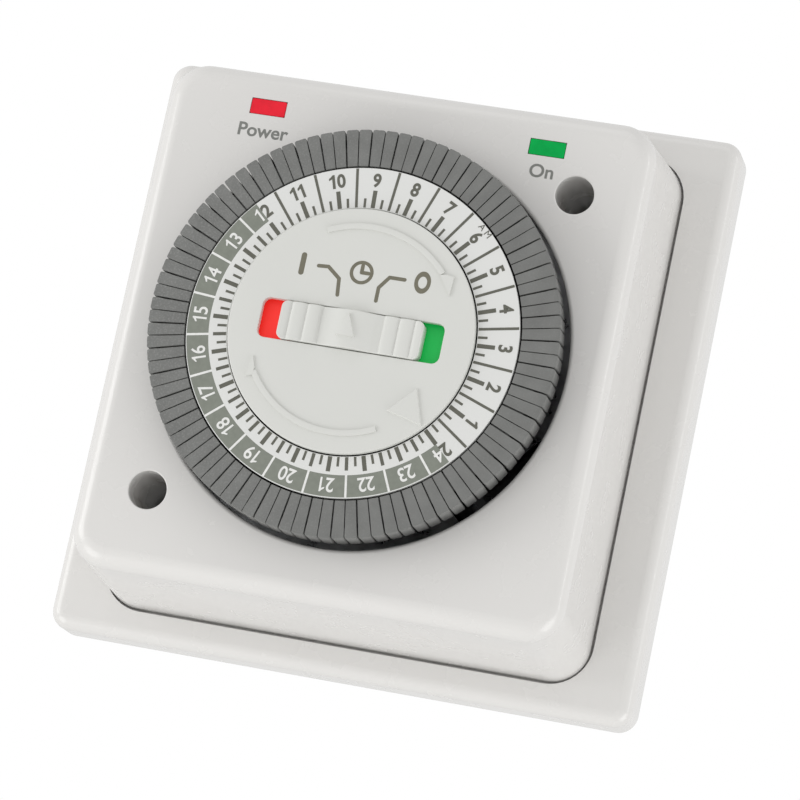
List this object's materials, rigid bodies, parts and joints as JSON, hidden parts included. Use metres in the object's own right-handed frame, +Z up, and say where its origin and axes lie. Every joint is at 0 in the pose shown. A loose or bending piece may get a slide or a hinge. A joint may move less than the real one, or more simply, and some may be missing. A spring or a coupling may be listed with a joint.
{
  "type": "programmable timer",
  "caption": "Square wall-mounted 24 hour timer: plate, casing, turning dial of push-down segments, override slider, two indicator windows and a geared drive inside.",
  "frame": {"origin": "middle of the wall plate's back, in the plane that rests on the wall", "axes": "+Z up the wall, -Y out of the wall towards the user, +X to the user's right"},
  "size_m": [0.105, 0.0469, 0.105],
  "materials": {
    "white_plastic": "moulded, satin gloss",
    "printed_white_plastic": "moulded white with a printed 24 hour scale",
    "grey_plastic": "moulded, fine matt grain",
    "black_plastic": "moulded",
    "red_plastic": "moulded",
    "green_plastic": "moulded",
    "red_lens": "tinted, clear",
    "green_lens": "tinted, clear",
    "cream_plastic": "moulded",
    "lamp_glass": "clear",
    "circuit_board": "resin board",
    "resistor": "lacquered",
    "steel": "zinc plated",
    "brass": "plain"
  },
  "bodies": {
    "root": {"wall_plate": "white_plastic", "front_casing": "white_plastic", "cover_screw_upper": "steel", "cover_screw_lower": "steel", "power_lens": "red_lens", "on_lens": "green_lens", "rear_cover": "black_plastic", "movement_plate": "steel", "plate_pillar_1": "brass", "plate_pillar_2": "brass", "plate_pillar_3": "brass", "plate_pillar_4": "brass", "lamp_board": "circuit_board", "power_lamp": "lamp_glass", "on_lamp": "lamp_glass", "power_resistor": "resistor", "on_resistor": "resistor", "motor_can": "steel", "motor_flange": "steel", "idler_axle": "steel", "centre_post": "cream_plastic", "dial_clip": "steel", "centre_disc": "white_plastic", "red_marker": "red_plastic", "green_marker": "green_plastic", "microswitch_body": "black_plastic", "switch_tab_1": "brass", "switch_tab_2": "brass", "switch_tab_3": "brass", "lever_pin": "steel", "lever_bracket": "steel", "terminal_block": "cream_plastic", "terminal_clamp_1": "brass", "terminal_clamp_2": "brass", "terminal_clamp_3": "brass", "terminal_clamp_4": "brass", "terminal_screw_1": "steel", "terminal_screw_2": "steel", "terminal_screw_3": "steel", "terminal_screw_4": "steel"},
    "dial": {"dial_drum": "black_plastic", "scale_ring": "printed_white_plastic", "dial_gear": "cream_plastic", "segment_ring": "grey_plastic"},
    "segment_1": {"segment_1": "grey_plastic"},
    "segment_2": {"segment_2": "grey_plastic"},
    "segment_3": {"segment_3": "grey_plastic"},
    "segment_4": {"segment_4": "grey_plastic"},
    "segment_5": {"segment_5": "grey_plastic"},
    "segment_6": {"segment_6": "grey_plastic"},
    "segment_7": {"segment_7": "grey_plastic"},
    "segment_8": {"segment_8": "grey_plastic"},
    "idler": {"idler_wheel": "cream_plastic", "idler_pinion": "cream_plastic"},
    "motor_output": {"motor_shaft": "steel", "motor_pinion": "brass"},
    "override": {"override_thumb": "white_plastic", "override_stem": "cream_plastic"},
    "lever": {"switch_lever": "cream_plastic"},
    "plunger": {"switch_plunger": "red_plastic"}
  },
  "joints": [
    {"name": "dial_turn", "type": "hinge", "parent": "root", "child": "dial", "pos_m": [0, -0.036, 0], "axis": [0, 1, 0], "continuous": true},
    {"name": "idler_turn", "type": "hinge", "parent": "root", "child": "idler", "pos_m": [-0.01973, -0.0215, 0.00718], "axis": [0, 1, 0], "continuous": true},
    {"name": "motor_turn", "type": "hinge", "parent": "root", "child": "motor_output", "pos_m": [-0.01973, -0.0215, 0.01968], "axis": [0, 1, 0], "continuous": true},
    {"name": "override_slide", "type": "slide", "parent": "root", "child": "override", "axis": [1, 0, 0], "range_m": [-0.0033, 0.0033]},
    {"name": "lever_swing", "type": "hinge", "parent": "root", "child": "lever", "pos_m": [0.03677, -0.0285, -0.01064], "axis": [0.7373, 0, -0.6756], "range_deg": [0, 4], "stiffness_Nm_per_rad": 0.02, "springref_deg": -5.73},
    {"name": "plunger_travel", "type": "slide", "parent": "root", "child": "plunger", "axis": [0, 1, 0], "range_m": [0, 0.00095]},
    {"name": "segment_1_press", "type": "slide", "parent": "dial", "child": "segment_1", "axis": [0, 1, 0], "range_m": [0, 0.003]},
    {"name": "segment_2_press", "type": "slide", "parent": "dial", "child": "segment_2", "axis": [0, 1, 0], "range_m": [0, 0.003]},
    {"name": "segment_3_press", "type": "slide", "parent": "dial", "child": "segment_3", "axis": [0, 1, 0], "range_m": [0, 0.003]},
    {"name": "segment_4_press", "type": "slide", "parent": "dial", "child": "segment_4", "axis": [0, 1, 0], "range_m": [0, 0.003]},
    {"name": "segment_5_press", "type": "slide", "parent": "dial", "child": "segment_5", "axis": [0, 1, 0], "range_m": [0, 0.003]},
    {"name": "segment_6_press", "type": "slide", "parent": "dial", "child": "segment_6", "axis": [0, 1, 0], "range_m": [0, 0.003]},
    {"name": "segment_7_press", "type": "slide", "parent": "dial", "child": "segment_7", "axis": [0, 1, 0], "range_m": [0, 0.003]},
    {"name": "segment_8_press", "type": "slide", "parent": "dial", "child": "segment_8", "axis": [0, 1, 0], "range_m": [0, 0.003]}
  ],
  "couplings": [
    {"joint": "idler_turn", "follows": "dial_turn", "ratio": -6},
    {"joint": "motor_turn", "follows": "dial_turn", "ratio": 24},
    {"joint": "plunger_travel", "follows": "lever_swing", "m_per_rad": 0.013}
  ]
}
